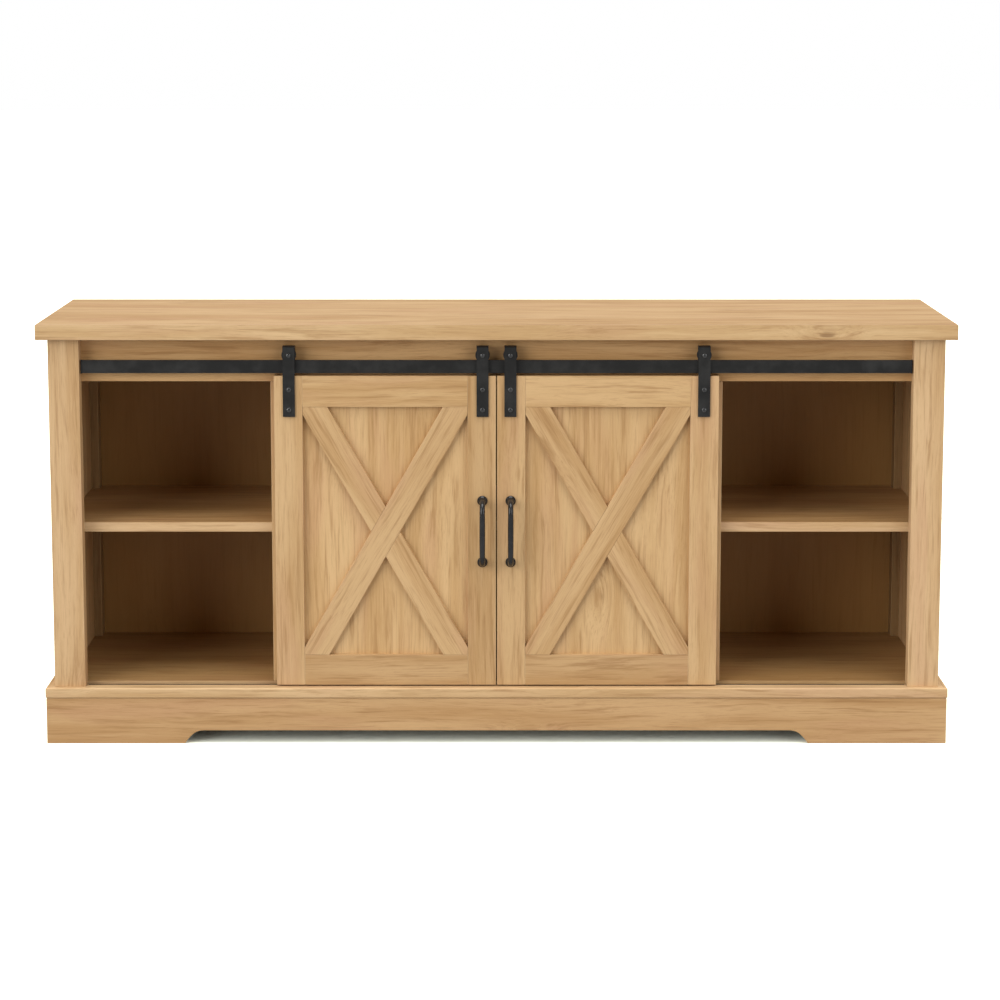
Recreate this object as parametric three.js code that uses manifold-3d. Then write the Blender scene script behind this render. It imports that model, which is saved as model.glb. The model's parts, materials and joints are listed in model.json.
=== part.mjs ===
// A farmhouse TV stand: an open shelf bay on each side, and two X-braced doors in the middle.
// The doors hang from grooved rollers on a flat steel track and slide sideways past the bays.
//
// Millimetres, +X to the right, +Y to the back, +Z up. The origin is on the floor, at the
// centre of the stand's bounding box. Inside the "stand" group, y is the depth behind the
// front edge of the top board, so every piece below is placed by its depth from that edge.

import * as THREE from 'three';
import { mergeVertices } from 'three/addons/utils/BufferGeometryUtils.js';
import Module from 'manifold-3d';

const wasm = await Module();
wasm.setup();

// ---------------------------------------------------------------- driving dimensions

const HEIGHT = 785;
const TOP_WIDTH = 1680;
const TOP_DEPTH = 400;
const TOP_THICKNESS = 28;

const CASE_WIDTH = 1640; // outside of the side panels and posts
const CASE_FRONT = 40; // depth of the front edges of the panels
const CASE_BACK = 398;
const PANEL = 15; // side panels, partitions, track board and skirts
const BACK_THICKNESS = 3;
const PARTITION_INNER = 401; // half the clear width of the middle bay

const POST_WIDTH = 57;
const POST_FRONT = 14;
const BATTEN = { width: 16, depth: 30 };

const FLOOR_TOP = 110; // upper face of the bottom board
const FLOOR_THICKNESS = 18;
const SHELF_TOP = 410.5;
const SHELF_THICKNESS = 18.5;
const SHELF_FRONT = 46;
const CENTER_SHELF_FRONT = 60;
const SHELF_PLAY = 0.3; // side play of the middle shelf between the partitions

const SKIRT = { front: 5.5, height: 86, outside: 835 };
const CAP = { front: 3.5, back: 27, outside: 836, top: 106, topRound: 3, footRound: 4 };
const ARCH = { height: 24.6, footEnd: 578.5, control: 563, flatEnd: 546 };
const CENTER_LEG = { width: 44, front: 200 };

const TRACK_BOARD_BOTTOM = 675.5;
const TRACK = { halfLength: 758, front: 20, thickness: 5, bottom: 693.5, top: 717.5 };
const SPACER = { radius: 7, height: 704.5, spread: 600 };
const CHANNEL = { halfLength: 762, bottom: 88, top: 104, wall: 1.5, web: 2 };
const CABLE_HOLE = { radius: 27.5, x: 190, height: 560 };

const DOOR = { inner: 1, outer: 407.5, bottom: 109, top: 688.5, front: 16 };
const DOOR_FRAME = { thickness: 9, stile: 52, rail: 57 };
const DOOR_CORE = 12;
const BRACE = { width: 46, length: 640, angle: THREE.MathUtils.degToRad(60.35) };
const FIT = 0.3; // gap around cut or resting pieces
const OVERCUT = 1; // how far a cutting shape reaches past the piece that it cuts

const HANGER = { width: 22, metal: 3, bottom: 613.5, top: 743.7, bend: 3, legBottom: 716 };
const HANGER_X = { outer: 380, inner: 25.5 };
const ROLLER = { height: 726.8, flange: 13.2, tread: 9, bore: 3.3, front: 17, back: 28 };
const ROLLER_PLAY = 1; // between the roller and the hanger's rear leg
const GROOVE = { play: 0.6, flare: 0.9, chamfer: 0.8 };
const AXLE = { radius: 3, head: 4.5, headFront: 10.4, headEdge: 0.3, nut: 5, nutDepth: 3.7 };
const AXLE_DOME = [[0, 0], [2.5, 0.35], [4.05, 1.1]]; // radius, and depth behind the crown

const HANDLE = { x: 26, middle: 399.2, span: 115, bar: 5.2, reach: 22, bend: 20 };
// The handle's boss, as its radius at each height above the door's face.
const BOSS = [[0, 6.5], [5.6, 6.5], [6.5, 4.5], [8.5, 2.4], [9.5, 1.6], [9.5, 0], [0, 0]];
const HANDLE_ROOT = 1.6; // the height inside the boss where the bar ends
const FIN = { length: 50, thickness: 6, height: 17, depth: 33.5, chamfer: 2, inset: 60 };

// ---------------------------------------------------------------- derived dimensions

const CASE_HALF = CASE_WIDTH / 2;
const CASE_INNER = CASE_HALF - PANEL;
const PARTITION_OUTER = PARTITION_INNER + PANEL;
const CASE_TOP = HEIGHT - TOP_THICKNESS;
const INNER_BACK = CASE_BACK - BACK_THICKNESS;
const FLOOR_BOTTOM = FLOOR_TOP - FLOOR_THICKNESS;
const TRACK_BOARD_BACK = CASE_FRONT + PANEL;
const TRACK_BACK = TRACK.front + TRACK.thickness;
const HANGER_FRONT = DOOR.front - HANGER.metal;
const HANGER_BACK = ROLLER.back + ROLLER_PLAY + HANGER.metal;
// The handles reach in front of the top board, so the box's middle is nearer than its middle.
const BOX_MIDDLE = (TOP_DEPTH - HANDLE.reach) / 2;

const ROUND = 24; // sides of a turned piece
const QUARTER = 0.5523; // control length of a quarter circle drawn as a cubic, for radius 1

// ---------------------------------------------------------------- finishes

const OAK = { color: 0xcfa777, roughness: 0.55, metalness: 0 };
const OAK_BACKING = { color: 0xb48d5e, roughness: 0.7, metalness: 0 };
const BLACK_STEEL = { color: 0x2c2c2c, roughness: 0.5, metalness: 0.6 };
const BLACK_BRONZE = { color: 0x1f1d1b, roughness: 0.3, metalness: 0.8 };
const BLACK_NYLON = { color: 0x1b1b1b, roughness: 0.6, metalness: 0 };

// ---------------------------------------------------------------- helpers

function makeMesh(parent, name, geometry, finish) {
  const mesh = new THREE.Mesh(geometry, new THREE.MeshStandardMaterial(finish));
  mesh.name = name;
  parent.add(mesh);
  return mesh;
}

// A board between two x values, two depths and two heights.
function addBoard(parent, name, [x0, x1], [y0, y1], [z0, z1], finish = OAK) {
  const geometry = new THREE.BoxGeometry(Math.abs(x1 - x0), y1 - y0, z1 - z0);
  const mesh = makeMesh(parent, name, geometry, finish);
  mesh.position.set((x0 + x1) / 2, (y0 + y1) / 2, (z0 + z1) / 2);
  return mesh;
}

function shapeOf(points) {
  return new THREE.Shape(points.map(([u, v]) => new THREE.Vector2(u, v)));
}

// A prism along +Z. Its outline is drawn in plan, as (x, y).
function plannedPrism(shape, z0, z1) {
  const geometry = new THREE.ExtrudeGeometry(shape, { depth: z1 - z0, bevelEnabled: false });
  return geometry.translate(0, 0, z0);
}

// A prism through the stand's depth. Its outline is drawn in the front view, as (x, z).
function frontPrism(shape, y0, y1, curveSegments = 12) {
  const options = { depth: y1 - y0, bevelEnabled: false, curveSegments };
  const geometry = new THREE.ExtrudeGeometry(shape, options);
  return geometry.rotateX(Math.PI / 2).translate(0, y1, 0);
}

// A prism along X. Its outline is drawn in the side view, as (y, z).
function sidePrism(shape, x0, x1, curveSegments = 6) {
  const options = { depth: x1 - x0, bevelEnabled: false, curveSegments };
  const geometry = new THREE.ExtrudeGeometry(shape, options);
  const along = new THREE.Matrix4().makeBasis(
    new THREE.Vector3(0, 1, 0),
    new THREE.Vector3(0, 0, 1),
    new THREE.Vector3(1, 0, 0),
  );
  return geometry.applyMatrix4(along).translate(x0, 0, 0);
}

function toSolid(geometry) {
  const bare = geometry.clone();
  bare.deleteAttribute('normal');
  bare.deleteAttribute('uv');
  const welded = mergeVertices(bare, 1e-4);
  return new wasm.Manifold(new wasm.Mesh({
    numProp: 3,
    vertProperties: new Float32Array(welded.attributes.position.array),
    triVerts: new Uint32Array(welded.index.array),
  }));
}

function toGeometry(solid) {
  const { vertProperties, triVerts } = solid.getMesh();
  const geometry = new THREE.BufferGeometry();
  geometry.setAttribute('position', new THREE.BufferAttribute(vertProperties, 3));
  geometry.setIndex(new THREE.BufferAttribute(triVerts, 1));
  geometry.computeVertexNormals();
  return geometry;
}

// ---------------------------------------------------------------- carcass

function addCarcass(stand) {
  addBoard(
    stand, 'top_board',
    [-TOP_WIDTH / 2, TOP_WIDTH / 2], [0, TOP_DEPTH], [CASE_TOP, HEIGHT],
  );
  addBoard(
    stand, 'bottom_board',
    [-CASE_INNER, CASE_INNER], [CASE_FRONT, INNER_BACK], [FLOOR_BOTTOM, FLOOR_TOP],
  );
  addBoard(
    stand, 'track_board',
    [-CASE_INNER, CASE_INNER], [CASE_FRONT, TRACK_BOARD_BACK], [TRACK_BOARD_BOTTOM, CASE_TOP],
  );
  for (const [side, sign] of [['left', -1], ['right', 1]]) {
    addBoard(
      stand, `${side}_side_panel`,
      [sign * CASE_INNER, sign * CASE_HALF], [CASE_FRONT, CASE_BACK], [0, CASE_TOP],
    );
    addBoard(
      stand, `${side}_front_post`,
      [sign * (CASE_HALF - POST_WIDTH), sign * CASE_HALF], [POST_FRONT, CASE_FRONT],
      [CAP.top, CASE_TOP],
    );
    addBoard(
      stand, `${side}_rear_batten`,
      [sign * (CASE_INNER - BATTEN.width), sign * CASE_INNER],
      [INNER_BACK - BATTEN.depth, INNER_BACK], [FLOOR_TOP, CASE_TOP],
    );
    addPartition(stand, side, sign);
    addSideShelf(stand, side, sign);
  }
  addBoard(
    stand, 'center_shelf',
    [-PARTITION_INNER + SHELF_PLAY, PARTITION_INNER - SHELF_PLAY],
    [CENTER_SHELF_FRONT, INNER_BACK], [SHELF_TOP - SHELF_THICKNESS, SHELF_TOP],
  );
}

// An upright between two bays, notched at its upper front corner for the track board.
function addPartition(stand, side, sign) {
  const outline = shapeOf([
    [CASE_FRONT, FLOOR_TOP],
    [INNER_BACK, FLOOR_TOP],
    [INNER_BACK, CASE_TOP],
    [TRACK_BOARD_BACK + FIT, CASE_TOP],
    [TRACK_BOARD_BACK + FIT, TRACK_BOARD_BOTTOM - FIT],
    [CASE_FRONT, TRACK_BOARD_BOTTOM - FIT],
  ]);
  const left = sign < 0 ? -PARTITION_OUTER : PARTITION_INNER;
  makeMesh(stand, `${side}_partition`, sidePrism(outline, left, left + PANEL), OAK);
}

// An open-bay shelf, notched at its outer rear corner around the batten.
function addSideShelf(stand, side, sign) {
  const batten = CASE_INNER - BATTEN.width - FIT;
  const notch = INNER_BACK - BATTEN.depth - FIT;
  const corners = [
    [PARTITION_OUTER, SHELF_FRONT],
    [CASE_INNER, SHELF_FRONT],
    [CASE_INNER, notch],
    [batten, notch],
    [batten, INNER_BACK],
    [PARTITION_OUTER, INNER_BACK],
  ];
  const outline = shapeOf(corners.map(([x, y]) => [sign * x, y]));
  const prism = plannedPrism(outline, SHELF_TOP - SHELF_THICKNESS, SHELF_TOP);
  makeMesh(stand, `${side}_shelf`, prism, OAK);
}

// Three thin backing sheets behind the partitions. The middle one has two cable holes.
function addBackPanels(stand) {
  const seam = PARTITION_INNER + PANEL / 2;
  const spans = [
    ['left', -CASE_INNER + FIT, -seam - FIT],
    ['center', -seam, seam],
    ['right', seam + FIT, CASE_INNER - FIT],
  ];
  for (const [place, x0, x1] of spans) {
    const outline = shapeOf([
      [x0, FLOOR_BOTTOM], [x1, FLOOR_BOTTOM], [x1, CASE_TOP], [x0, CASE_TOP],
    ]);
    if (place === 'center') {
      for (const x of [-CABLE_HOLE.x, CABLE_HOLE.x]) {
        const hole = new THREE.Path();
        hole.absarc(x, CABLE_HOLE.height, CABLE_HOLE.radius, 0, 2 * Math.PI, true);
        outline.holes.push(hole);
      }
    }
    const prism = frontPrism(outline, INNER_BACK, CASE_BACK);
    makeMesh(stand, `${place}_back_panel`, prism, OAK_BACKING);
  }
}

// ---------------------------------------------------------------- base

// The front skirt, with a long low arch cut between its two feet.
function addFrontSkirt(stand) {
  const outline = new THREE.Shape();
  outline.moveTo(-SKIRT.outside, 0);
  outline.lineTo(-ARCH.footEnd, 0);
  outline.quadraticCurveTo(-ARCH.control, ARCH.height, -ARCH.flatEnd, ARCH.height);
  outline.lineTo(ARCH.flatEnd, ARCH.height);
  outline.quadraticCurveTo(ARCH.control, ARCH.height, ARCH.footEnd, 0);
  outline.lineTo(SKIRT.outside, 0);
  outline.lineTo(SKIRT.outside, SKIRT.height);
  outline.lineTo(-SKIRT.outside, SKIRT.height);
  const prism = frontPrism(outline, SKIRT.front, SKIRT.front + PANEL, 8);
  makeMesh(stand, 'base_front_skirt', prism, OAK);
}

// The moulding's section: flat behind, with its outer edge rounded above and below.
function capSection() {
  const { front, back, top, topRound, footRound } = CAP;
  const bottom = SKIRT.height;
  const section = new THREE.Shape();
  section.moveTo(back, bottom);
  section.lineTo(back, top);
  section.lineTo(front + topRound, top);
  section.absarc(front + topRound, top - topRound, topRound, Math.PI / 2, Math.PI, false);
  section.lineTo(front, bottom + footRound);
  section.absarc(
    front + footRound, bottom + footRound, footRound, Math.PI, 1.5 * Math.PI, false,
  );
  return section;
}

// The moulding runs round the front and both ends, with a mitre at each front corner.
function addCaps(stand) {
  const mitre = CAP.outside - CASE_HALF;
  const inner = CASE_HALF;
  const half = FIT / 2;
  const frontPlan = shapeOf([
    [-CAP.outside + half, CAP.front],
    [CAP.outside - half, CAP.front],
    [inner - half, CAP.front + mitre],
    [inner - half, CAP.back],
    [-inner + half, CAP.back],
    [-inner + half, CAP.front + mitre],
  ]);
  const rail = toSolid(sidePrism(capSection(), -CAP.outside, CAP.outside));
  const frontKeep = toSolid(plannedPrism(frontPlan, SKIRT.height - OVERCUT, CAP.top + OVERCUT));
  makeMesh(stand, 'base_front_cap', toGeometry(rail.intersect(frontKeep)), OAK);

  for (const [side, sign] of [['left', -1], ['right', 1]]) {
    const corners = [
      [CAP.outside, CAP.front + half],
      [CAP.outside, CASE_BACK],
      [inner, CASE_BACK],
      [inner, CAP.front + mitre + half],
    ];
    const plan = shapeOf(corners.map(([x, y]) => [sign * x, y]));
    const keep = toSolid(plannedPrism(plan, SKIRT.height - OVERCUT, CAP.top + OVERCUT));
    const run = sidePrism(capSection(), 0, CASE_BACK);
    // The section faces -Y, and a quarter turn makes it face the stand's end.
    run.translate(0, -CAP.front, 0).rotateZ(sign * Math.PI / 2);
    run.translate(sign * CAP.outside, sign < 0 ? CASE_BACK : 0, 0);
    makeMesh(stand, `base_${side}_cap`, toGeometry(toSolid(run).intersect(keep)), OAK);
  }
}

function addBase(stand) {
  addFrontSkirt(stand);
  addCaps(stand);
  for (const [side, sign] of [['left', -1], ['right', 1]]) {
    addBoard(
      stand, `base_${side}_skirt`,
      [sign * CASE_HALF, sign * SKIRT.outside], [SKIRT.front + PANEL, CASE_BACK],
      [0, SKIRT.height],
    );
  }
  addBoard(
    stand, 'base_rear_rail',
    [-CASE_INNER, CASE_INNER], [CASE_BACK - PANEL, CASE_BACK], [0, FLOOR_BOTTOM],
  );
  addBoard(
    stand, 'base_center_leg',
    [-CENTER_LEG.width / 2, CENTER_LEG.width / 2],
    [CENTER_LEG.front, CENTER_LEG.front + CENTER_LEG.width], [0, FLOOR_BOTTOM],
  );
}

// ---------------------------------------------------------------- track and door channel

function addTrack(stand) {
  addBoard(
    stand, 'sliding_track',
    [-TRACK.halfLength, TRACK.halfLength], [TRACK.front, TRACK_BACK],
    [TRACK.bottom, TRACK.top], BLACK_STEEL,
  );
  const places = [['left', -SPACER.spread], ['center', 0], ['right', SPACER.spread]];
  for (const [place, x] of places) {
    const length = CASE_FRONT - TRACK_BACK;
    const geometry = new THREE.CylinderGeometry(SPACER.radius, SPACER.radius, length, ROUND);
    const mesh = makeMesh(stand, `${place}_track_spacer`, geometry, BLACK_STEEL);
    mesh.position.set(x, TRACK_BACK + length / 2, SPACER.height);
  }
}

// The channel in the floor that keeps the doors' lower edges from swinging.
function addDoorChannel(stand) {
  const { bottom, top, wall, web } = CHANNEL;
  const section = shapeOf([
    [CAP.back, bottom],
    [CASE_FRONT, bottom],
    [CASE_FRONT, top],
    [CASE_FRONT - wall, top],
    [CASE_FRONT - wall, bottom + web],
    [CAP.back + wall, bottom + web],
    [CAP.back + wall, top],
    [CAP.back, top],
  ]);
  const prism = sidePrism(section, -CHANNEL.halfLength, CHANNEL.halfLength);
  makeMesh(stand, 'door_guide_channel', prism, BLACK_NYLON);
}

// ---------------------------------------------------------------- doors

// Two braces, half-lapped where they cross, with their ends cut to the frame's opening.
function braceGeometries(middleX, width, height) {
  const { front } = DOOR;
  const { thickness, rail, stile } = DOOR_FRAME;
  const middleZ = (DOOR.bottom + DOOR.top) / 2;
  const place = (geometry, y) => toSolid(geometry.translate(middleX, y, middleZ));
  const opening = () => place(
    new THREE.BoxGeometry(
      width - 2 * (stile + FIT), 2 * (thickness + OVERCUT), height - 2 * (rail + FIT),
    ),
    front,
  );
  const band = (angle, depth, extra, y) => place(
    new THREE.BoxGeometry(BRACE.length, depth, BRACE.width + 2 * extra).rotateY(angle), y,
  );
  const middleY = front + thickness / 2;
  const lap = thickness / 2 + FIT / 2;
  const nearLap = (angle) => band(angle, lap * 2, FIT, front);
  const farLap = (angle) => band(angle, lap * 2, FIT, front + thickness);
  const rising = band(-BRACE.angle, thickness, 0, middleY).intersect(opening());
  const falling = band(BRACE.angle, thickness, 0, middleY).intersect(opening());
  return {
    rising: toGeometry(rising.subtract(farLap(BRACE.angle))),
    falling: toGeometry(falling.subtract(nearLap(-BRACE.angle))),
  };
}

function addDoorLeaf(door, side, sign) {
  const { inner, outer, bottom, top, front } = DOOR;
  const { thickness, stile, rail } = DOOR_FRAME;
  const frame = [front, front + thickness];
  const core = [front + thickness, front + thickness + DOOR_CORE];
  const railSpan = [sign * (inner + stile), sign * (outer - stile)];
  addBoard(door, `${side}_door_panel`, [sign * inner, sign * outer], core, [bottom, top]);
  addBoard(
    door, `${side}_door_outer_stile`,
    [sign * (outer - stile), sign * outer], frame, [bottom, top],
  );
  addBoard(
    door, `${side}_door_inner_stile`,
    [sign * inner, sign * (inner + stile)], frame, [bottom, top],
  );
  addBoard(door, `${side}_door_top_rail`, railSpan, frame, [top - rail, top]);
  addBoard(door, `${side}_door_bottom_rail`, railSpan, frame, [bottom, bottom + rail]);
  const braces = braceGeometries(sign * (inner + outer) / 2, outer - inner, top - bottom);
  makeMesh(door, `${side}_door_rising_brace`, braces.rising, OAK);
  makeMesh(door, `${side}_door_falling_brace`, braces.falling, OAK);
}

// An upside-down U of strap steel over the roller, whose long front leg is fixed to the door.
function hangerGeometry(x) {
  const { width, metal, bottom, top, bend, legBottom } = HANGER;
  const front = HANGER_FRONT;
  const back = HANGER_BACK;
  const section = new THREE.Shape();
  section.moveTo(front, bottom);
  section.lineTo(front + metal, bottom);
  section.lineTo(front + metal, top - metal);
  section.lineTo(back - metal, top - metal);
  section.lineTo(back - metal, legBottom);
  section.lineTo(back, legBottom);
  section.lineTo(back, top - bend);
  section.absarc(back - bend, top - bend, bend, 0, Math.PI / 2, false);
  section.lineTo(front + bend, top);
  section.absarc(front + bend, top - bend, bend, Math.PI / 2, Math.PI, false);
  const strap = toSolid(sidePrism(section, x - width / 2, x + width / 2));
  const boreLength = back - front + 2 * OVERCUT;
  const bore = new THREE.CylinderGeometry(ROLLER.bore, ROLLER.bore, boreLength, ROUND);
  bore.translate(x, (front + back) / 2, ROLLER.height);
  return toGeometry(strap.subtract(toSolid(bore)));
}

// Lathe profiles below are (radius, depth) pairs, with the stand's depth as their axis.
function lathe(profile, segments = ROUND) {
  const points = profile.map(([r, y]) => new THREE.Vector2(r, y));
  return new THREE.LatheGeometry(points, segments);
}

// A grooved roller. The track's upper edge runs in its groove.
function rollerGeometry() {
  const { flange, tread, bore, front, back } = ROLLER;
  const { play, flare, chamfer } = GROOVE;
  const near = TRACK.front - play;
  const far = TRACK_BACK + play;
  return lathe([
    [bore, front],
    [flange - chamfer, front],
    [flange, front + chamfer],
    [flange, near - flare],
    [tread, near],
    [tread, far],
    [flange, far + flare],
    [flange, back - chamfer],
    [flange - chamfer, back],
    [bore, back],
    [bore, front],
  ], 32);
}

// The bolt that the roller turns on, domed in front and with a lock nut behind.
function axleGeometry() {
  const { radius, head, headFront, headEdge, nut, nutDepth } = AXLE;
  const underHead = HANGER_FRONT - FIT;
  const nutFront = HANGER_BACK + FIT;
  return lathe([
    ...AXLE_DOME.map(([r, depth]) => [r, headFront + depth]),
    [head, underHead - headEdge],
    [head, underHead],
    [radius, underHead],
    [radius, nutFront],
    [nut, nutFront],
    [nut, nutFront + nutDepth],
    [0, nutFront + nutDepth],
  ]);
}

// A bow pull: a round bar bent back at both ends into flared bosses on the door's face.
function handleGeometry(x) {
  const { middle, span, bar, reach, bend } = HANDLE;
  const face = DOOR.front;
  const root = face - HANDLE_ROOT;
  const barY = bar - reach;
  const ends = [middle + span / 2, middle - span / 2];
  const soft = QUARTER * bend;
  const point = (y, z) => new THREE.Vector3(x, y, z);
  const path = new THREE.CurvePath();
  path.add(new THREE.LineCurve3(point(root, ends[0]), point(barY + bend, ends[0])));
  path.add(new THREE.CubicBezierCurve3(
    point(barY + bend, ends[0]), point(barY + bend - soft, ends[0]),
    point(barY, ends[0] - bend + soft), point(barY, ends[0] - bend),
  ));
  path.add(new THREE.LineCurve3(point(barY, ends[0] - bend), point(barY, ends[1] + bend)));
  path.add(new THREE.CubicBezierCurve3(
    point(barY, ends[1] + bend), point(barY, ends[1] + bend - soft),
    point(barY + bend - soft, ends[1]), point(barY + bend, ends[1]),
  ));
  path.add(new THREE.LineCurve3(point(barY + bend, ends[1]), point(root, ends[1])));
  const section = new THREE.Shape();
  section.absarc(0, 0, bar, 0, 2 * Math.PI, false);
  const options = { extrudePath: path, steps: 44, curveSegments: 8 };
  let pull = toSolid(new THREE.ExtrudeGeometry(section, options));
  for (const z of ends) {
    const boss = lathe(BOSS.map(([r, height]) => [r, face - height]));
    pull = pull.add(toSolid(boss.translate(x, 0, z)));
  }
  return toGeometry(pull);
}

// The nylon fin under the door, which runs in the floor channel.
function finGeometry(x) {
  const { length, thickness, height, depth, chamfer } = FIN;
  const half = length / 2;
  const outline = shapeOf([
    [x - half, DOOR.bottom],
    [x - half, DOOR.bottom - height + chamfer],
    [x - half + chamfer, DOOR.bottom - height],
    [x + half - chamfer, DOOR.bottom - height],
    [x + half, DOOR.bottom - height + chamfer],
    [x + half, DOOR.bottom],
  ]);
  return frontPrism(outline, depth - thickness / 2, depth + thickness / 2);
}

function addDoorFittings(door, side, sign) {
  makeMesh(door, `${side}_door_handle`, handleGeometry(sign * HANDLE.x), BLACK_BRONZE);
  const fin = finGeometry(sign * (DOOR.outer - FIN.inset));
  makeMesh(door, `${side}_door_guide_fin`, fin, BLACK_NYLON);
  for (const [place, reach] of Object.entries(HANGER_X)) {
    const x = sign * reach;
    makeMesh(door, `${side}_door_${place}_hanger`, hangerGeometry(x), BLACK_STEEL);
    const axle = makeMesh(
      door, `${side}_door_${place}_axle_bolt`, axleGeometry(), BLACK_STEEL,
    );
    axle.position.set(x, 0, ROLLER.height);
    const roller = makeMesh(
      door, `${side}_door_${place}_roller`, rollerGeometry(), BLACK_NYLON,
    );
    roller.position.set(x, 0, ROLLER.height);
  }
}

// ---------------------------------------------------------------- assembly

const stand = new THREE.Group();
stand.position.y = -BOX_MIDDLE;
addCarcass(stand);
addBackPanels(stand);
addBase(stand);
addTrack(stand);
addDoorChannel(stand);
for (const [side, sign] of [['left', -1], ['right', 1]]) {
  const door = new THREE.Group();
  addDoorLeaf(door, side, sign);
  addDoorFittings(door, side, sign);
  stand.add(door);
}

const model = new THREE.Group();
model.add(stand);

export default model;
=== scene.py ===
"""The looks of the TV stand with sliding doors: oak boards, black track hardware, camera and light."""

import json
import math
import random

import bmesh
import bpy
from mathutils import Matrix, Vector


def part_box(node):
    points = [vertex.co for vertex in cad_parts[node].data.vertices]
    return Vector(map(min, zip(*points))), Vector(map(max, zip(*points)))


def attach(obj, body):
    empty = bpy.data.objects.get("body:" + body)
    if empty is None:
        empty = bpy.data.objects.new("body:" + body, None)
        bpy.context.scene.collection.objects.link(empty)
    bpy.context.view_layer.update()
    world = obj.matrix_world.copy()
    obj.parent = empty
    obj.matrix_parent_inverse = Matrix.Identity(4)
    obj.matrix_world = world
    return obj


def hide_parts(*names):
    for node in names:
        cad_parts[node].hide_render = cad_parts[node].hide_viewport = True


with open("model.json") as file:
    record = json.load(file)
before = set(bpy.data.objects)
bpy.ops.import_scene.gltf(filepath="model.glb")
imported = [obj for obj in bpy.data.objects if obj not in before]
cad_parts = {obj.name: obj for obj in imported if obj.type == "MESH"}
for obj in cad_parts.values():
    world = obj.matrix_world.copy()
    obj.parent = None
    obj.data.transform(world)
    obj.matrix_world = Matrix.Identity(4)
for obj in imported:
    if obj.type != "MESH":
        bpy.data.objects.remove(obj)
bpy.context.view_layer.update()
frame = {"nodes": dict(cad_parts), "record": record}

MM = 0.001
NODES = frame["nodes"]
SLOT_OF = {part["node"]: part["material_slot"] for part in frame["record"]["subparts"]}
SIDES = (("left", -1), ("right", 1))
PLACES = ("outer", "inner")
scene = bpy.context.scene


def low(node):
    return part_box(node)[0]


def high(node):
    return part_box(node)[1]


def middle(node):
    return (low(node) + high(node)) / 2


# ---------------------------------------------------------------- camera, light and floor

# The camera stands this far in front of the top board's front edge and this high, in metres.
CAMERA_DISTANCE = 4.2979
CAMERA_HEIGHT = 1.339
CAMERA_PITCH = math.radians(6.985)
# Focal length and sensor width are in millimetres, the shift in widths of the picture.
CAMERA_LENS = 85.863
CAMERA_SENSOR = 36.0
CAMERA_SHIFT = (0.0035, -0.19)
CAMERA_REACH = 200.0

# Each soft light: azimuth from the front towards +X, elevation, strength and width (angles in degrees).
LIGHTS = {
    "left_softbox": (-50.0, 20.0, 2.35, 50.0),
    "right_softbox": (50.0, 20.0, 1.35, 50.0),
    "overhead_softbox": (0.0, 84.0, 3.20, 50.0),
    "rear_softbox": (180.0, 55.0, 1.10, 30.0),
}
# Strength of the even light from all round.
AMBIENT = 0.01
WHITE = (1.0, 1.0, 1.0)
FLOOR_SIZE = 60.0
# The floor's colour for the light it returns, for reflections of it, and for the camera.
FLOOR_BOUNCE = (0.36, 0.36, 0.36)
FLOOR_MIRRORED = (0.40, 0.40, 0.40)
FLOOR_SEEN = (1.35, 1.42, 1.24)


def make_camera():
    data = bpy.data.cameras.new("camera")
    data.lens = CAMERA_LENS
    data.sensor_width = CAMERA_SENSOR
    data.shift_x, data.shift_y = CAMERA_SHIFT
    data.clip_end = CAMERA_REACH
    camera = bpy.data.objects.new("camera", data)
    scene.collection.objects.link(camera)
    camera.location = (0.0, low("top_board").y - CAMERA_DISTANCE, CAMERA_HEIGHT)
    camera.rotation_euler = (math.pi / 2 - CAMERA_PITCH, 0.0, 0.0)
    scene.camera = camera


def make_lights():
    for name, (azimuth, elevation, strength, width) in LIGHTS.items():
        data = bpy.data.lights.new(name, "SUN")
        data.energy = strength
        data.angle = math.radians(width)
        light = bpy.data.objects.new(name, data)
        scene.collection.objects.link(light)
        turn, rise = math.radians(azimuth), math.radians(elevation)
        shines_from = Vector((
            math.sin(turn) * math.cos(rise), -math.cos(turn) * math.cos(rise), math.sin(rise),
        ))
        light.rotation_euler = shines_from.to_track_quat("Z", "Y").to_euler()


def make_world():
    """Plain white where the camera sees it, and a dim even light on everything else."""
    world = bpy.data.worlds.new("studio")
    world.use_nodes = True
    scene.world = world
    nodes, links = world.node_tree.nodes, world.node_tree.links
    nodes.clear()
    output = nodes.new("ShaderNodeOutputWorld")
    mix = nodes.new("ShaderNodeMixShader")
    links.new(nodes.new("ShaderNodeLightPath").outputs["Is Camera Ray"], mix.inputs["Fac"])
    for socket, strength in ((1, AMBIENT), (2, 1.0)):
        background = nodes.new("ShaderNodeBackground")
        background.inputs["Color"].default_value = (*WHITE, 1.0)
        background.inputs["Strength"].default_value = strength
        links.new(background.outputs[0], mix.inputs[socket])
    links.new(mix.outputs[0], output.inputs["Surface"])


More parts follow.
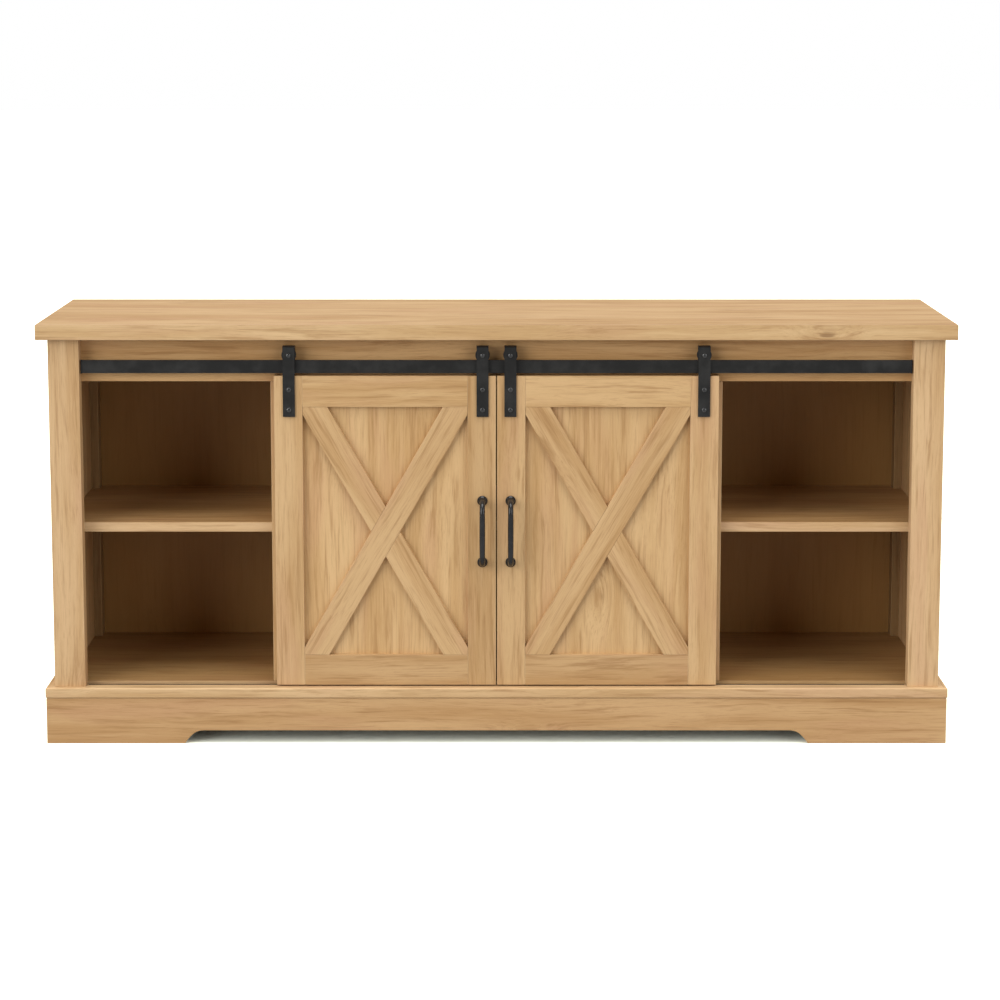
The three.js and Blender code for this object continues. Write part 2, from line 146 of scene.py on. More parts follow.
def make_floor():
    """A plain pale floor: bright to look at, duller in reflections and in the light it returns."""
    half = FLOOR_SIZE / 2
    mesh = bpy.data.meshes.new("studio_floor")
    corners = [(-half, -half, 0), (half, -half, 0), (half, half, 0), (-half, half, 0)]
    mesh.from_pydata(corners, [], [(0, 1, 2, 3)])
    floor = bpy.data.objects.new("studio_floor", mesh)
    scene.collection.objects.link(floor)
    material = bpy.data.materials.new("studio_floor")
    material.use_nodes = True
    nodes, links = material.node_tree.nodes, material.node_tree.links
    nodes.clear()
    output = nodes.new("ShaderNodeOutputMaterial")
    path = nodes.new("ShaderNodeLightPath")

    def diffuse(colour):
        node = nodes.new("ShaderNodeBsdfDiffuse")
        node.inputs["Color"].default_value = (*colour, 1.0)
        return node.outputs[0]

    surface = diffuse(FLOOR_BOUNCE)
    for ray, colour in (("Is Glossy Ray", FLOOR_MIRRORED), ("Is Camera Ray", FLOOR_SEEN)):
        mix = nodes.new("ShaderNodeMixShader")
        links.new(path.outputs[ray], mix.inputs["Fac"])
        links.new(surface, mix.inputs[1])
        links.new(diffuse(colour), mix.inputs[2])
        surface = mix.outputs[0]
    links.new(surface, output.inputs["Surface"])
    mesh.materials.append(material)


# ---------------------------------------------------------------- node helpers

class Graph:
    """A node tree with short calls for adding and joining nodes."""

    def __init__(self, tree):
        self.tree = tree

    def add(self, kind, **settings):
        node = self.tree.nodes.new("ShaderNode" + kind)
        for name, value in settings.items():
            setattr(node, name, value)
        return node

    def feed(self, socket, value):
        if isinstance(value, bpy.types.NodeSocket):
            self.tree.links.new(value, socket)
        else:
            socket.default_value = value

    def math(self, operation, a, b=None):
        node = self.add("Math", operation=operation)
        self.feed(node.inputs[0], a)
        if b is not None:
            self.feed(node.inputs[1], b)
        return node.outputs[0]

    def times(self, value, amount):
        return self.math("MULTIPLY", value, amount)

    def scaled(self, vector, along, across):
        node = self.add("VectorMath", operation="MULTIPLY")
        self.feed(node.inputs[0], vector)
        node.inputs[1].default_value = (along, across, across)
        return node.outputs[0]

    def noise(self, vector, scale=1.0, detail=2.0, roughness=0.5):
        node = self.add("TexNoise")
        self.feed(node.inputs["Vector"], vector)
        node.inputs["Scale"].default_value = scale
        node.inputs["Detail"].default_value = detail
        node.inputs["Roughness"].default_value = roughness
        return node.outputs["Fac"]

    def ramp(self, value, start, end, to_start=0.0, to_end=1.0):
        node = self.add("MapRange", clamp=True, interpolation_type="SMOOTHSTEP")
        self.feed(node.inputs["Value"], value)
        node.inputs["From Min"].default_value = start
        node.inputs["From Max"].default_value = end
        node.inputs["To Min"].default_value = to_start
        node.inputs["To Max"].default_value = to_end
        return node.outputs["Result"]

    def mix(self, factor, a, b, blend="MIX"):
        node = self.add("Mix", data_type="RGBA", blend_type=blend)
        self.feed(node.inputs["Factor"], factor)
        for socket, value in ((node.inputs[6], a), (node.inputs[7], b)):
            self.feed(socket, value if isinstance(value, bpy.types.NodeSocket) else (*value, 1.0))
        return node.outputs[2]

    def bump(self, height, strength, distance):
        node = self.add("Bump")
        node.inputs["Strength"].default_value = strength
        node.inputs["Distance"].default_value = distance
        self.feed(node.inputs["Height"], height)
        return node.outputs["Normal"]


# ---------------------------------------------------------------- oak

OAK_PALE = (0.585, 0.382, 0.188)
OAK_MID = (0.485, 0.292, 0.126)
OAK_BROWN = (0.335, 0.178, 0.066)
OAK_DARK = (0.170, 0.080, 0.028)
OAK_PINK = (0.510, 0.295, 0.150)
# The paler colour of the rounded edges: wear, and also a painted highlight along them.
OAK_WORN_AND_HIGHLIGHT = (0.640, 0.450, 0.250)

# How often each feature repeats in a metre along and across the grain, then its scale, detail, roughness.
WANDER = (1.3, 6.0, 1.0, 2.0, 0.5)
RIPPLE = (9.0, 30.0, 1.0, 1.0, 0.5)
FIGURE = {
    "tone": (1.5, 20.0, 1.0, 2.0, 0.6),
    "wisps": (6.0, 118.0, 1.0, 3.0, 0.62),
    "streaks": (9.0, 400.0, 1.0, 3.0, 0.66),
    "fibres": (45.0, 1300.0, 1.0, 2.0, 0.6),
    "blush": (2.0, 13.0, 1.7, 1.0, 0.5),
}
# How far the grain is pushed sideways, in metres.
WANDER_PUSH = 0.055
RIPPLE_PUSH = 0.005
KNOT_PUSH = 0.018

# Colours laid over each other: the feature, where it begins to show and is full, how much, its colour.
TONE_STEP = (0.36, 0.64)
TINTS = (
    ("blush", 0.50, 0.72, 0.55, OAK_PINK),
    ("wisps", 0.50, 0.72, 0.66, OAK_BROWN),
    ("wisps", 0.45, 0.27, 0.60, OAK_PALE),
    ("streaks", 0.50, 0.76, 0.52, OAK_BROWN),
    ("streaks", 0.46, 0.25, 0.50, OAK_PALE),
    ("fibres", 0.54, 0.78, 0.40, OAK_BROWN),
)

# Cells in a metre along and across the grain. About a third of them hold a knot, whose parts begin
# and are full at these distances from its middle, in cells.
KNOT_CELLS = (3.4, 8.5)
KNOT_RARITY = (0.62, 0.66)
KNOT_BEND = (0.34, 0.0)
KNOT_RAGGED = 0.16
KNOT_SMOKE = (0.36, 0.10)
KNOT_SMOKE_WISPS = (0.34, 0.62)
KNOT_HEART = (0.145, 0.10)
SMOKE_STRENGTH = 0.55
HEART_STRENGTH = 0.60

# Roughness of the plain wood, and how much the streaks add to it.
GLOSS = (0.42, 0.22)
# The fibres and the streaks both sink below the surface.
FIBRE_DEPTH = 0.7
STREAK_DEPTH = 0.6


def figure_noise(g, point, along, across, scale, detail, roughness):
    return g.noise(g.scaled(point, along, across), scale, detail, roughness)


def make_grain_group():
    """Oak grain for a point in metres with the grain along X: its colour, gloss and height."""
    tree = bpy.data.node_groups.new("oak_grain", "ShaderNodeTree")
    tree.interface.new_socket("Point", in_out="INPUT", socket_type="NodeSocketVector")
    tree.interface.new_socket("Color", in_out="OUTPUT", socket_type="NodeSocketColor")
    tree.interface.new_socket("Roughness", in_out="OUTPUT", socket_type="NodeSocketFloat")
    tree.interface.new_socket("Height", in_out="OUTPUT", socket_type="NodeSocketFloat")
    g = Graph(tree)
    point = tree.nodes.new("NodeGroupInput").outputs["Point"]

    # The grain wanders slowly sideways, and bends round each knot.
    wander = figure_noise(g, point, *WANDER)
    ripple = figure_noise(g, point, *RIPPLE)
    knots = g.add("TexVoronoi", feature="F1", distance="EUCLIDEAN")
    g.feed(knots.inputs["Vector"], g.scaled(point, *KNOT_CELLS))
    knots.inputs["Scale"].default_value = 1.0
    kind = g.add("SeparateColor")
    g.feed(kind.inputs[0], knots.outputs["Color"])
    rare = g.ramp(kind.outputs[0], *KNOT_RARITY)
    near = g.times(g.ramp(knots.outputs["Distance"], *KNOT_BEND), rare)
    sideways = g.math("ADD", g.times(wander, WANDER_PUSH), g.times(ripple, RIPPLE_PUSH))
    sideways = g.math("ADD", sideways, g.times(near, KNOT_PUSH))
    push = g.add("CombineXYZ")
    for axis in "YZ":
        g.feed(push.inputs[axis], sideways)
    flow = g.add("VectorMath", operation="ADD")
    g.feed(flow.inputs[0], point)
    g.feed(flow.inputs[1], push.outputs[0])

    figure = {name: figure_noise(g, flow.outputs[0], *sizes) for name, sizes in FIGURE.items()}
    colour = g.mix(g.ramp(figure["tone"], *TONE_STEP), OAK_MID, OAK_PALE)
    for name, start, full, strength, tint in TINTS:
        colour = g.mix(g.ramp(figure[name], start, full, 0.0, strength), colour, tint)

    # Each knot has a smoky surround drawn out along the grain, and a small dark heart.
    ragged = g.math("ADD", knots.outputs["Distance"], g.times(figure["streaks"], KNOT_RAGGED))
    smoke = g.times(g.ramp(ragged, *KNOT_SMOKE), rare)
    smoke = g.times(smoke, g.ramp(figure["wisps"], *KNOT_SMOKE_WISPS))
    heart = g.times(g.ramp(ragged, *KNOT_HEART), rare)
    colour = g.mix(g.times(smoke, SMOKE_STRENGTH), colour, OAK_BROWN)
    colour = g.mix(g.times(heart, HEART_STRENGTH), colour, OAK_DARK)

    gloss = g.math("ADD", GLOSS[0], g.times(figure["streaks"], GLOSS[1]))
    height = g.math(
        "SUBTRACT", g.times(figure["fibres"], -FIBRE_DEPTH), g.times(figure["streaks"], STREAK_DEPTH),
    )
    out = tree.nodes.new("NodeGroupOutput")
    g.feed(out.inputs["Color"], colour)
    g.feed(out.inputs["Roughness"], gloss)
    g.feed(out.inputs["Height"], height)
    return tree


GRAIN = make_grain_group()
OAK_SPECULAR = 0.32
# Strength, and depth in metres.
OAK_BUMP = (0.22, 0.0003)
# Depth below a level face where its painted shade begins to fade into the unshaded edge, and where it is
# gone.
FACE_SHADE_FADES = 0.5 * MM
FACE_SHADE_GONE = 1.2 * MM
# Rotations that lay a board's own grain direction along the group's X axis.
GRAIN_TURNS = {
    "x": (0.0, 0.0, 0.0),
    "y": (0.0, 0.0, -math.pi / 2),
    "z": (0.0, math.pi / 2, 0.0),
}


def level_faces(g, board):
    """1 on the top and bottom faces of a level board, which take painted shade, 0 on its edges."""
    split = g.add("SeparateXYZ")
    g.feed(split.inputs[0], g.add("TexCoord").outputs["Object"])
    half = (high(board).z - low(board).z) / 2
    away = g.math("ABSOLUTE", g.math("SUBTRACT", split.outputs["Z"], middle(board).z))
    return g.ramp(away, half - FACE_SHADE_GONE, half - FACE_SHADE_FADES)


def oak_material(name, turn, offset, shade, worn_and_highlight=0.0, board=None, painted_face_shade=None, calm=0.0):
    """Oak laminate. turn lays the grain along X; offset picks a stretch of board; shade tints it."""
    material = bpy.data.materials.new(name)
    material.use_nodes = True
    g = Graph(material.node_tree)
    shader = material.node_tree.nodes["Principled BSDF"]
    mapping = g.add("Mapping", vector_type="POINT")
    g.feed(mapping.inputs["Vector"], g.add("TexCoord").outputs["Object"])
    mapping.inputs["Rotation"].default_value = turn
    mapping.inputs["Location"].default_value = offset
    grain = material.node_tree.nodes.new("ShaderNodeGroup")
    grain.node_tree = GRAIN
    g.feed(grain.inputs["Point"], mapping.outputs[0])
    figure = g.mix(calm, grain.outputs["Color"], OAK_MID) if calm else grain.outputs["Color"]
    tinted = g.mix(1.0, figure, shade, "MULTIPLY")
    # Painted shade: the top and bottom faces of a level board get a darker tint than its edges.
    if painted_face_shade:
        faces = g.mix(1.0, figure, painted_face_shade, "MULTIPLY")
        tinted = g.mix(level_faces(g, board), tinted, faces)
    # The rounded edges pale towards the worn colour: wear, and also a painted highlight along them.
    colour = g.mix(worn_and_highlight, tinted, OAK_WORN_AND_HIGHLIGHT) if worn_and_highlight else tinted
    g.feed(shader.inputs["Base Color"], colour)
    g.feed(shader.inputs["Roughness"], grain.outputs["Roughness"])
    shader.inputs["Specular IOR Level"].default_value = OAK_SPECULAR
    g.feed(shader.inputs["Normal"], g.bump(grain.outputs["Height"], *OAK_BUMP))
    return material


# ---------------------------------------------------------------- metal and nylon

# Scale, detail and roughness of the slow changes, and where they turn from plain to rubbed.
CLOUD = (26.0, 3.0, 0.62)
CLOUD_STEP = (0.35, 0.75)
PEBBLE_DETAIL = (2.0, 0.55)
PEBBLE_BUMP = 0.35
# A rubbed spot is this many times paler than the finish, and a little more.
RUBBED_TIMES = 1.9
RUBBED_MORE = 0.003
# How much the clouds and the pebbles change the roughness, and what they add to it on average.
CLOUD_GLOSS = 0.14
PEBBLE_GLOSS = 0.06
GLOSS_MEAN = 0.10
PLAIN_IOR = 1.5


def black_finish(name, colour, rough, pebble_scale, pebble_depth, specular, ior=PLAIN_IOR):
    """A painted or moulded black: a fine pebbled skin with slow changes in tone and gloss."""
    material = bpy.data.materials.new(name)
    material.use_nodes = True
    g = Graph(material.node_tree)
    shader = material.node_tree.nodes["Principled BSDF"]
    place = g.add("TexCoord").outputs["Object"]
    pebble = g.noise(place, pebble_scale, *PEBBLE_DETAIL)
    cloud = g.noise(place, *CLOUD)
    rubbed = tuple(channel * RUBBED_TIMES + RUBBED_MORE for channel in colour)
    g.feed(shader.inputs["Base Color"], g.mix(g.ramp(cloud, *CLOUD_STEP), colour, rubbed))
    changes = g.math("ADD", g.times(cloud, CLOUD_GLOSS), g.times(pebble, PEBBLE_GLOSS))
    g.feed(shader.inputs["Roughness"], g.math("ADD", changes, rough - GLOSS_MEAN))
    shader.inputs["Specular IOR Level"].default_value = specular
    shader.inputs["IOR"].default_value = ior
    g.feed(shader.inputs["Normal"], g.bump(pebble, PEBBLE_BUMP, pebble_depth))
    return material


# Colour, roughness, pebbles in a metre, their depth in metres and the specular level of each finish.
BLACK_FINISHES = {
    "black_steel": ((0.0125, 0.0122, 0.0115), 0.44, 1500.0, 0.00006, 0.26),
    "black_bronze": ((0.0080, 0.0080, 0.0085), 0.22, 500.0, 0.00001, 0.40),
    "black_nylon": ((0.0080, 0.0080, 0.0080), 0.52, 900.0, 0.00005, 0.25),
}
BLACKS = {name: black_finish(name, *values) for name, values in BLACK_FINISHES.items()}
# The fasteners' plating is glossier than the straps and reflects more.
SCREW_FINISH = black_finish("black_screw", (0.0080, 0.0080, 0.0080), 0.22, 700.0, 0.00001, 0.50, 1.8)


# ---------------------------------------------------------------- dressing the CAD nodes

BOARD_BEVEL = 0.9 * MM
PANEL_BEVEL = 0.4 * MM
BRACE_BEVEL = 0.25 * MM
METAL_BEVEL = 0.4 * MM
BEVEL_SEGMENTS = 2
WELD_DISTANCE = 0.02 * MM
CREASE = math.radians(32.0)
FLAT_FACE_WEIGHT = 100
EDGE_SLOT = 1
BRACE_LEAN = math.radians(60.35)

BOARD_SEED = 41
# Each board's figure starts up to this far off, in metres, and is this much darker or paler.
BOARD_OFFSET = 20.0
BOARD_LEVELS = (0.98, 1.02)
# How far a rounded edge fades to the paler worn colour, which is wear and also a painted highlight along
# the edge.
EDGE_WEAR_AND_HIGHLIGHT = 0.25
PLAIN_SHADE = (1.0, 1.0, 1.0)
# Painted shade: the backing inside the bays is darkened.
BACKING_PAINTED_SHADE = (0.66, 0.56, 0.36)
# How far the figure of the thin backing fades to its middle colour.
BACKING_CALM = 0.70
# What the oak of each kind of board is multiplied by. The kind is a word in the node's name. Some of these
# tints are painted light or painted shade, as marked.
SHADES = {
    "top_board": (1.06, 1.11, 1.18),
    "front_post": (1.06, 1.09, 1.18),
    "inner_stile": (0.96, 0.95, 0.93),
    "outer_stile": (1.02, 1.03, 1.05),
    "top_rail": (1.02, 1.02, 1.00),
    "bottom_rail": (0.92, 0.90, 0.88),
    "cap": (1.08, 1.12, 1.20),
    "skirt": (0.94, 0.90, 0.87),
    # Painted light: the track board under the top's overhang gets a warmer tint for light bounced off the
    # oak.
    "track_board": (1.03, 0.95, 0.84),
    # Painted shade: the battens in the back corners of the bays are darkened.
    "batten": (0.52, 0.48, 0.40),
    "_shelf": (1.09, 1.14, 1.27),
    "door_panel": (1.07, 1.08, 1.07),
}
# Painted shade: the top and bottom faces of the level boards are darker than their edges. This stands in
# for the shade on the shelves and the bottom board, and for less light on the top board.
PAINTED_FACE_SHADES = {
    "top_board": (0.82, 0.82, 0.84),
    "_shelf": (0.72, 0.66, 0.57),
    "bottom_board": (0.60, 0.54, 0.43),
}


def board_shade(name, shades, otherwise):
    return next((shade for word, shade in shades.items() if word in name), otherwise)


def grain_turn(name):
    if name.endswith("brace"):
        return (0.0, BRACE_LEAN if "rising" in name else -BRACE_LEAN, 0.0)
    size = high(name) - low(name)
    return GRAIN_TURNS["xyz"[max(range(3), key=lambda axis: size[axis])]]


def soften_edges(node, width):
    """Join the loose triangles, round the sharp edges and shade the faces flat between them."""
    weld = node.modifiers.new("weld", "WELD")
    weld.merge_threshold = WELD_DISTANCE
    bevel = node.modifiers.new("bevel", "BEVEL")
    bevel.width = width
    bevel.segments = BEVEL_SEGMENTS
    bevel.limit_method = "ANGLE"
    bevel.angle_limit = CREASE
    bevel.material = EDGE_SLOT
    normals = node.modifiers.new("normals", "WEIGHTED_NORMAL")
    normals.weight = FLAT_FACE_WEIGHT


def set_materials(node, face, edge):
    node.data.materials.clear()
    node.data.materials.append(face)
    node.data.materials.append(edge)


def board_bevel(backing, brace):
    if backing:
        return PANEL_BEVEL
    return BRACE_BEVEL if brace else BOARD_BEVEL


def dress_boards():
    chance = random.Random(BOARD_SEED)
    for name, node in sorted(NODES.items()):
        if not SLOT_OF[name].startswith("oak"):
            continue
        offset = tuple(chance.uniform(-BOARD_OFFSET, BOARD_OFFSET) for _ in range(3))
        backing = SLOT_OF[name] == "oak_backing"
        shade = BACKING_PAINTED_SHADE if backing else board_shade(name, SHADES, PLAIN_SHADE)
        level = chance.uniform(*BOARD_LEVELS)
        shade = tuple(level * channel for channel in shade)
        faces = board_shade(name, PAINTED_FACE_SHADES, None)
        turn = grain_turn(name)
        brace = name.endswith("brace")
        worn_and_highlight = 0.0 if backing or brace else EDGE_WEAR_AND_HIGHLIGHT
        calm = BACKING_CALM if backing else 0.0
        face = oak_material("oak_" + name, turn, offset, shade, 0.0, name, faces, calm)
        edge = oak_material("oak_edge_" + name, turn, offset, shade, worn_and_highlight, name, faces, calm)
        set_materials(node, face, edge)
        soften_edges(node, board_bevel(backing, brace))


def dress_hardware():
    for name, node in sorted(NODES.items()):
        if SLOT_OF[name] in BLACKS:
            finish = BLACKS[SLOT_OF[name]]
            set_materials(node, finish, finish)
            soften_edges(node, METAL_BEVEL)


# ---------------------------------------------------------------- added pieces

SMOOTH_SIDES = 48
TINY = 1e-7


def new_piece(name, mesh_maker, slot, body, replaces=(), finish=None):
    """Turn a filled bmesh into a named piece with its finish, its body and what it replaces."""
    mesh = bpy.data.meshes.new(name)
    bm = bmesh.new()
    mesh_maker(bm)
    bmesh.ops.recalc_face_normals(bm, faces=bm.faces)
    bm.to_mesh(mesh)
    bm.free()
    piece = bpy.data.objects.new(name, mesh)
    scene.collection.objects.link(piece)
    mesh.materials.append(finish or BLACKS[slot])
    mesh.shade_smooth()
    mesh.set_sharp_from_angle(angle=CREASE)
    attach(piece, body)
    if replaces:
        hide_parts(*replaces)


def ring(bm, centre, side, up, radius, sides):
    """A circle of vertices about centre, or the one vertex there when it has no radius."""
    if radius < TINY:
        return [bm.verts.new(centre)]
    verts = []
    for k in range(sides):
        turn = 2 * math.pi * k / sides
        spoke = side * (radius * math.cos(turn)) + up * (radius * math.sin(turn))
        verts.append(bm.verts.new(centre + spoke))
    return verts


def join_rings(bm, rings, sides):
    """Close the band between each ring and the next. A ring of one vertex makes a fan."""
    for near, far in zip(rings, rings[1:]):
        for k in range(sides):
            j = (k + 1) % sides
            corners = (near[k % len(near)], near[j % len(near)], far[j % len(far)], far[k % len(far)])
            corners = list(dict.fromkeys(corners))
            if len(corners) > 2:
                bm.faces.new(corners)


def turned(bm, profile, centre, sides=SMOOTH_SIDES, loop=False):
    """Revolve (radius, depth) points about a line along Y. loop joins the last one to the first."""
    side, up, along = Vector((1, 0, 0)), Vector((0, 0, 1)), Vector((0, 1, 0))
    rings = [ring(bm, centre + along * depth, side, up, radius, sides) for radius, depth in profile]
    join_rings(bm, rings + rings[:1] if loop else rings, sides)


SCREW = {"radius": 4.5 * MM, "rise": 2.0 * MM, "arm": 2.6 * MM, "slit": 0.85 * MM, "sunk": 1.1 * MM}
# Shares of the head's radius and rise, from its rim on the strap to the edge of its crown.
SCREW_CROWN = ((1.0, 1.0), (1.0, 0.55), (0.94, 0.28), (0.80, 0.08))
SCREW_TAPER = 0.8
# Height above the floor of each hanger's two screws, in metres.
SCREW_HEIGHTS = (0.6635, 0.6262)


def screw_head(bm, centre):
    """A pan head on a face that looks towards -Y, with a cross recess sunk in its crown."""
    arm, half, rise = SCREW["arm"], SCREW["slit"] / 2, SCREW["rise"]
    plus = [
        (arm, -half), (arm, half), (half, half), (half, arm), (-half, arm), (-half, half),
        (-arm, half), (-arm, -half), (-half, -half), (-half, -arm), (half, -arm), (half, -half),
    ]
    angles = [math.atan2(z, x) for x, z in plus]

    def rim(scale, depth):
        radius = SCREW["radius"] * scale
        return [
            bm.verts.new(centre + Vector((radius * math.cos(a), depth - rise, radius * math.sin(a))))
            for a in angles
        ]

    def cross(scale, depth):
        return [bm.verts.new(centre + Vector((x * scale, depth - rise, z * scale))) for x, z in plus]

    loops = [rim(scale, share * rise) for scale, share in SCREW_CROWN]
    loops += [cross(1.0, 0.0), cross(SCREW_TAPER, SCREW["sunk"])]
    for outer, inner in zip(loops, loops[1:]):
        for k in range(len(plus)):
            j = (k + 1) % len(plus)
            bm.faces.new((outer[k], outer[j], inner[j], inner[k]))
    bm.faces.new(loops[-1])
    bm.faces.new(loops[0][::-1])


def add_hanger_screws():
    for side, _ in SIDES:
        for place in PLACES:
            hanger = f"{side}_door_{place}_hanger"
            for number, height in enumerate(SCREW_HEIGHTS, 1):
                centre = Vector((middle(hanger).x, low(hanger).y, height))
                new_piece(
                    f"{hanger}_screw_{number}", lambda bm: screw_head(bm, centre),
                    "black_steel", f"{side}_door", finish=SCREW_FINISH,
                )


AXLE = {"head": 4.5 * MM, "shank": 3.0 * MM, "nut": 5.0 * MM, "clear": 0.05 * MM}
# Radius and depth behind the crown, in millimetres, from the socket's floor out over the dome.
AXLE_DOME = [(0.0, 1.5), (1.45, 1.5), (1.6, 0.1), (2.4, 0.12), (3.4, 0.5), (4.1, 1.1)]
AXLE_RIM = 1.8 * MM
# How much the nut narrows at its corners, and over what depth.
NUT_CORNER = (0.6 * MM, 0.5 * MM)
# The bolt's chamfered end stands out this far behind the nut.
BOLT_END = 0.4 * MM


def axle_profile(node, hanger):
    """A domed bolt with a round socket, and a lock nut behind the hanger, along the depth."""
    front, back = low(node).y, high(node).y
    seat, rear = low(hanger).y - AXLE["clear"], high(hanger).y + AXLE["clear"]
    head, shank, nut = AXLE["head"], AXLE["shank"], AXLE["nut"]
    narrow, bevel = NUT_CORNER
    nut_end = back - BOLT_END
    dome = [(radius * MM, front + depth * MM) for radius, depth in AXLE_DOME]
    bolt = [(head, front + AXLE_RIM), (head, seat), (shank, seat), (shank, rear)]
    lock_nut = [(nut - narrow, rear), (nut, rear + bevel), (nut, nut_end - bevel), (nut - narrow, nut_end)]
    return dome + bolt + lock_nut + [(shank, nut_end), (shank - BOLT_END, back), (0.0, back)]


def add_axle_bolts():
    for side, _ in SIDES:
        for place in PLACES:
            node = f"{side}_door_{place}_axle_bolt"
            profile = axle_profile(node, f"{side}_door_{place}_hanger")
            axis = Vector((middle(node).x, 0.0, middle(node).z))
            new_piece(
                node + "_fine", lambda bm: turned(bm, profile, axis),
                "black_steel", f"{side}_door", (node,), SCREW_FINISH,
            )


# Radius and depth, in millimetres, from a roller's bore out over its front flange to its tread.
ROLLER_HALF = [
    (3.3, 0.5), (3.8, 0.0), (5.4, 0.0), (5.8, 0.5), (10.4, 0.5), (10.9, 0.0), (12.3, 0.0),
    (12.95, 0.25), (13.2, 0.85), (13.0, 1.4), (9.5, 2.2), (9.05, 2.5), (9.0, 3.0),
]
ROLLER_WIDTH = 11.0
ROLLER_SIDES = 64


def roller_section():
    """The whole section in metres: the front half, then its mirror image behind the tread."""
    back_half = [(radius, ROLLER_WIDTH - depth) for radius, depth in reversed(ROLLER_HALF)]
    return [(radius * MM, depth * MM) for radius, depth in ROLLER_HALF + back_half]


def add_rollers():
    section = roller_section()
    for side, _ in SIDES:
        for place in PLACES:
            node = f"{side}_door_{place}_roller"
            centre = Vector((middle(node).x, low(node).y, middle(node).z))
            new_piece(
                node + "_fine", lambda bm: turned(bm, section, centre, ROLLER_SIDES, loop=True),
                "black_nylon", f"{side}_{place}_roller", (node,),
            )


# Distance from the door's face and radius, in millimetres, of a handle's flared foot.
HANDLE_FOOT = [
    (0.0, 9.1), (0.4, 9.5), (1.7, 9.5), (2.5, 9.15), (3.4, 8.1), (4.6, 6.9), (6.2, 5.9), (8.0, 5.35),
    (9.5, 5.1),
]
HANDLE_BAR = 5.3 * MM
HANDLE_NECK = 5.0 * MM
# The leg bows outwards a little before it turns along the bar.
HANDLE_BEND = {"lead": 14.0 * MM, "bow": 1.6 * MM, "rise": 11.0 * MM, "drop": 20.0 * MM, "steps": 16}
# How fast the foot's last radius settles to the neck's along the bend.
HANDLE_TAPER = 0.7
# Shares of the way from the bend to the middle, and of the growth from neck to bar.
HANDLE_SWELL = ((0.20, 0.35), (0.45, 0.75), (0.75, 1.0))


def handle_half(node):
    """(distance from the door, height above the middle, radius) from the top foot to the middle."""
    face = high(node).y
    foot = high(node).z - (high(node).x - low(node).x) / 2 - middle(node).z
    reach = face - low(node).y - HANDLE_BAR
    path = [(away * MM, foot, radius * MM) for away, radius in HANDLE_FOOT]
    start = Vector((path[-1][0], foot))
    end = Vector((reach, foot - HANDLE_BEND["drop"]))
    pulls = (
        start + Vector((HANDLE_BEND["lead"], HANDLE_BEND["bow"])),
        end + Vector((0.0, HANDLE_BEND["rise"])),
    )
    for step in range(1, HANDLE_BEND["steps"] + 1):
        t = step / HANDLE_BEND["steps"]
        weights = ((1 - t) ** 3, 3 * t * (1 - t) ** 2, 3 * t * t * (1 - t), t ** 3)
        spot = sum((w * p for w, p in zip(weights, (start, *pulls, end))), Vector((0.0, 0.0)))
        path.append((spot.x, spot.y, HANDLE_NECK + (path[-1][2] - HANDLE_NECK) * HANDLE_TAPER))
    for share, swell in HANDLE_SWELL:
        path.append((reach, end.y * (1 - share), HANDLE_NECK + (HANDLE_BAR - HANDLE_NECK) * swell))
    return path


def handle(bm, node):
    """One bow handle: rings swept along its path from the top foot to the bottom foot."""
    half = handle_half(node)
    path = half + [(away, -height, radius) for away, height, radius in reversed(half)]
    spots = [Vector((middle(node).x, high(node).y - a, middle(node).z + h)) for a, h, _ in path]
    across = Vector((1, 0, 0))
    rings = []
    for k, (spot, (_, _, radius)) in enumerate(zip(spots, path)):
        along = spots[min(k + 1, len(spots) - 1)] - spots[max(k - 1, 0)]
        rings.append(ring(bm, spot, across, across.cross(along.normalized()), radius, SMOOTH_SIDES))
    join_rings(bm, rings, SMOOTH_SIDES)
    bm.faces.new(rings[0])
    bm.faces.new(rings[-1])


def add_handles():
    for side, _ in SIDES:
        node = f"{side}_door_handle"
        new_piece(
            node + "_fine", lambda bm: handle(bm, node), "black_bronze", f"{side}_door", (node,),
        )


TRACK_CAP = {"gap": 0.1 * MM, "thick": 3.3 * MM, "lip": 0.6 * MM, "radius": 0.8 * MM}
CAP_SEGMENTS = 3
ROUND = 0.5


def rounded_block(bm, lowest, highest, radius):
    """A closed block between two corners, with all its edges rounded."""
    bmesh.ops.create_cube(bm, size=1.0)
    size, centre = highest - lowest, (highest + lowest) / 2
    for vert in bm.verts:
        vert.co = Vector(a * b for a, b in zip(vert.co, size)) + centre
    bmesh.ops.bevel(
        bm, geom=bm.edges[:], offset=radius, segments=CAP_SEGMENTS, profile=ROUND, affect="EDGES",
    )



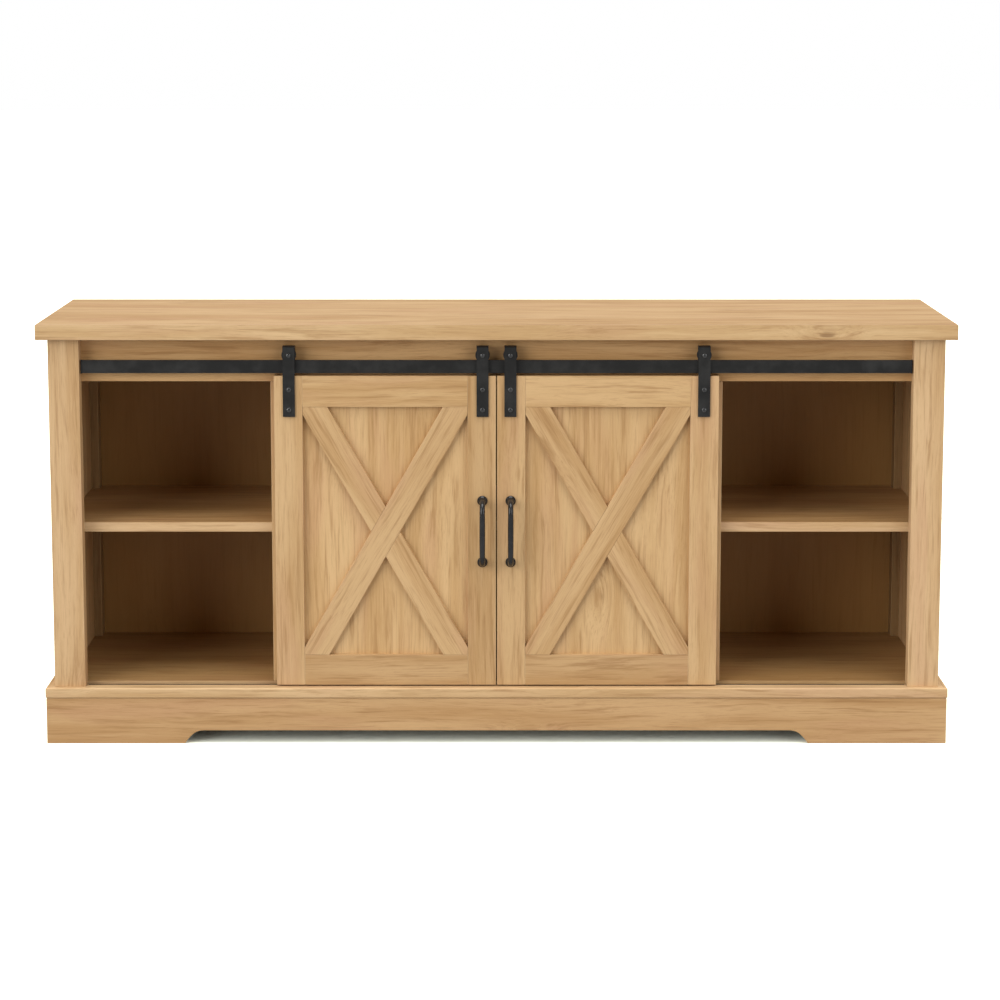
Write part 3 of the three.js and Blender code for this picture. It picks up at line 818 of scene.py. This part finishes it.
def add_track_caps():
    """A thin nylon cap covers the cut end of the track on each side."""
    bottom, top = low("sliding_track"), high("sliding_track")
    lip = Vector((0.0, TRACK_CAP["lip"], TRACK_CAP["lip"]))
    for side, sign in SIDES:
        near = sign * (top.x + TRACK_CAP["gap"])
        far = near + sign * TRACK_CAP["thick"]
        lowest = Vector((min(near, far), bottom.y, bottom.z)) - lip
        highest = Vector((max(near, far), top.y, top.z)) + lip
        new_piece(
            f"{side}_track_cap", lambda bm: rounded_block(bm, lowest, highest, TRACK_CAP["radius"]),
            "black_nylon", "cabinet",
        )


# Radius and height over the panel of a nail's head, closed by a flat underside.
NAIL_HEAD = [(0.0, 0.0), (2.3 * MM, 0.0), (2.3 * MM, 0.25 * MM), (1.7 * MM, 0.6 * MM), (0.0, 0.75 * MM)]
NAIL_CLEAR = 0.02 * MM
NAIL_SIDES = 14
NAIL_INSET = 3.6 * MM
NAIL_SPACING = 0.11
NAIL_BELOW_TOP = 30 * MM


def nail_line(start, end):
    """Places of evenly spaced nails from start to end, with one at each end."""
    count = max(2, round((end - start) / NAIL_SPACING) + 1)
    return [start + (end - start) * k / (count - 1) for k in range(count)]


def add_back_nails():
    """Small flat nails hold each backing panel to the boards behind its edges."""
    bottom_row = middle("bottom_board").z
    for bay in ("left", "center", "right"):
        node = f"{bay}_back_panel"
        columns = (low(node).x + NAIL_INSET, high(node).x - NAIL_INSET)
        spots = {(x, z) for x in columns for z in nail_line(bottom_row, high(node).z - NAIL_BELOW_TOP)}
        spots |= {(x, bottom_row) for x in nail_line(*columns)}

        def nails(bm):
            for x, z in sorted(spots):
                turned(bm, NAIL_HEAD, Vector((x, high(node).y + NAIL_CLEAR, z)), NAIL_SIDES)

        new_piece(f"{node}_nails", nails, "black_steel", "cabinet")


make_camera()
make_lights()
make_world()
make_floor()
dress_boards()
dress_hardware()
add_hanger_screws()
add_axle_bolts()
add_rollers()
add_handles()
add_track_caps()
add_back_nails()
scene.view_settings.view_transform = "Standard"
